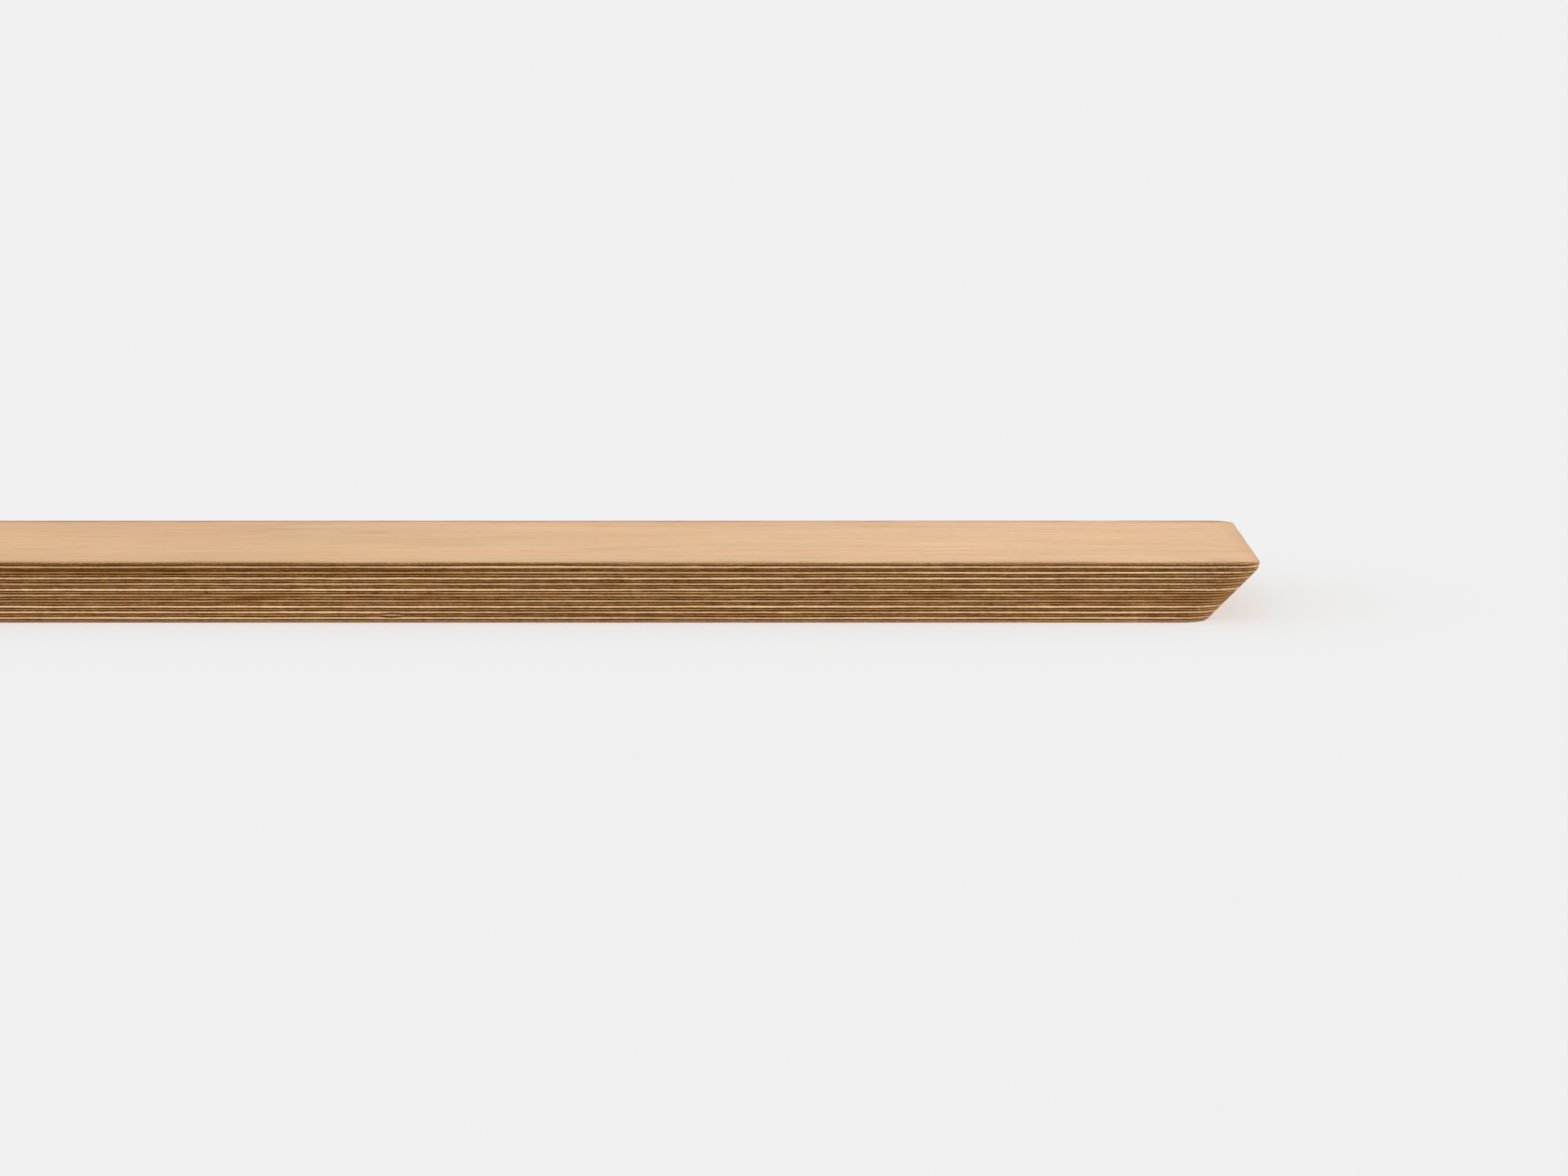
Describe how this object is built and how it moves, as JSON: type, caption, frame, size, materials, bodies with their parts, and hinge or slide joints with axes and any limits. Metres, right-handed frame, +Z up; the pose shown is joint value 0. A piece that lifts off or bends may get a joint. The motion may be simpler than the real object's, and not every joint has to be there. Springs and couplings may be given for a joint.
{
  "type": "scaffold plank",
  "caption": "Straight plywood scaffold plank of long-grain and cross-grain veneers, with undercut rounded ends and a flat working face.",
  "frame": {"origin": "centre of the bounding box's bottom, on the plank's underside", "axes": "+X along the plank, +Y across it, +Z up out of the working face"},
  "size_m": [1.5, 0.225, 0.038],
  "materials": {
    "face_veneer": "satin",
    "long_grain_veneer": "matte",
    "cross_grain_veneer": "matte",
    "glue_film": "matte"
  },
  "bodies": {
    "root": {"top_face_veneer": "face_veneer", "cross_ply_02": "cross_grain_veneer", "long_ply_03": "long_grain_veneer", "cross_ply_04": "cross_grain_veneer", "long_ply_05": "long_grain_veneer", "cross_ply_06": "cross_grain_veneer", "long_ply_07": "long_grain_veneer", "cross_ply_08": "cross_grain_veneer", "long_ply_09": "long_grain_veneer", "cross_ply_10": "cross_grain_veneer", "long_ply_11": "long_grain_veneer", "cross_ply_12": "cross_grain_veneer", "long_ply_13": "long_grain_veneer", "cross_ply_14": "cross_grain_veneer", "long_ply_15": "long_grain_veneer", "cross_ply_16": "cross_grain_veneer", "long_ply_17": "long_grain_veneer", "cross_ply_18": "cross_grain_veneer", "long_ply_19": "long_grain_veneer", "cross_ply_20": "cross_grain_veneer", "bottom_face_veneer": "face_veneer"}
  },
  "joints": []
}
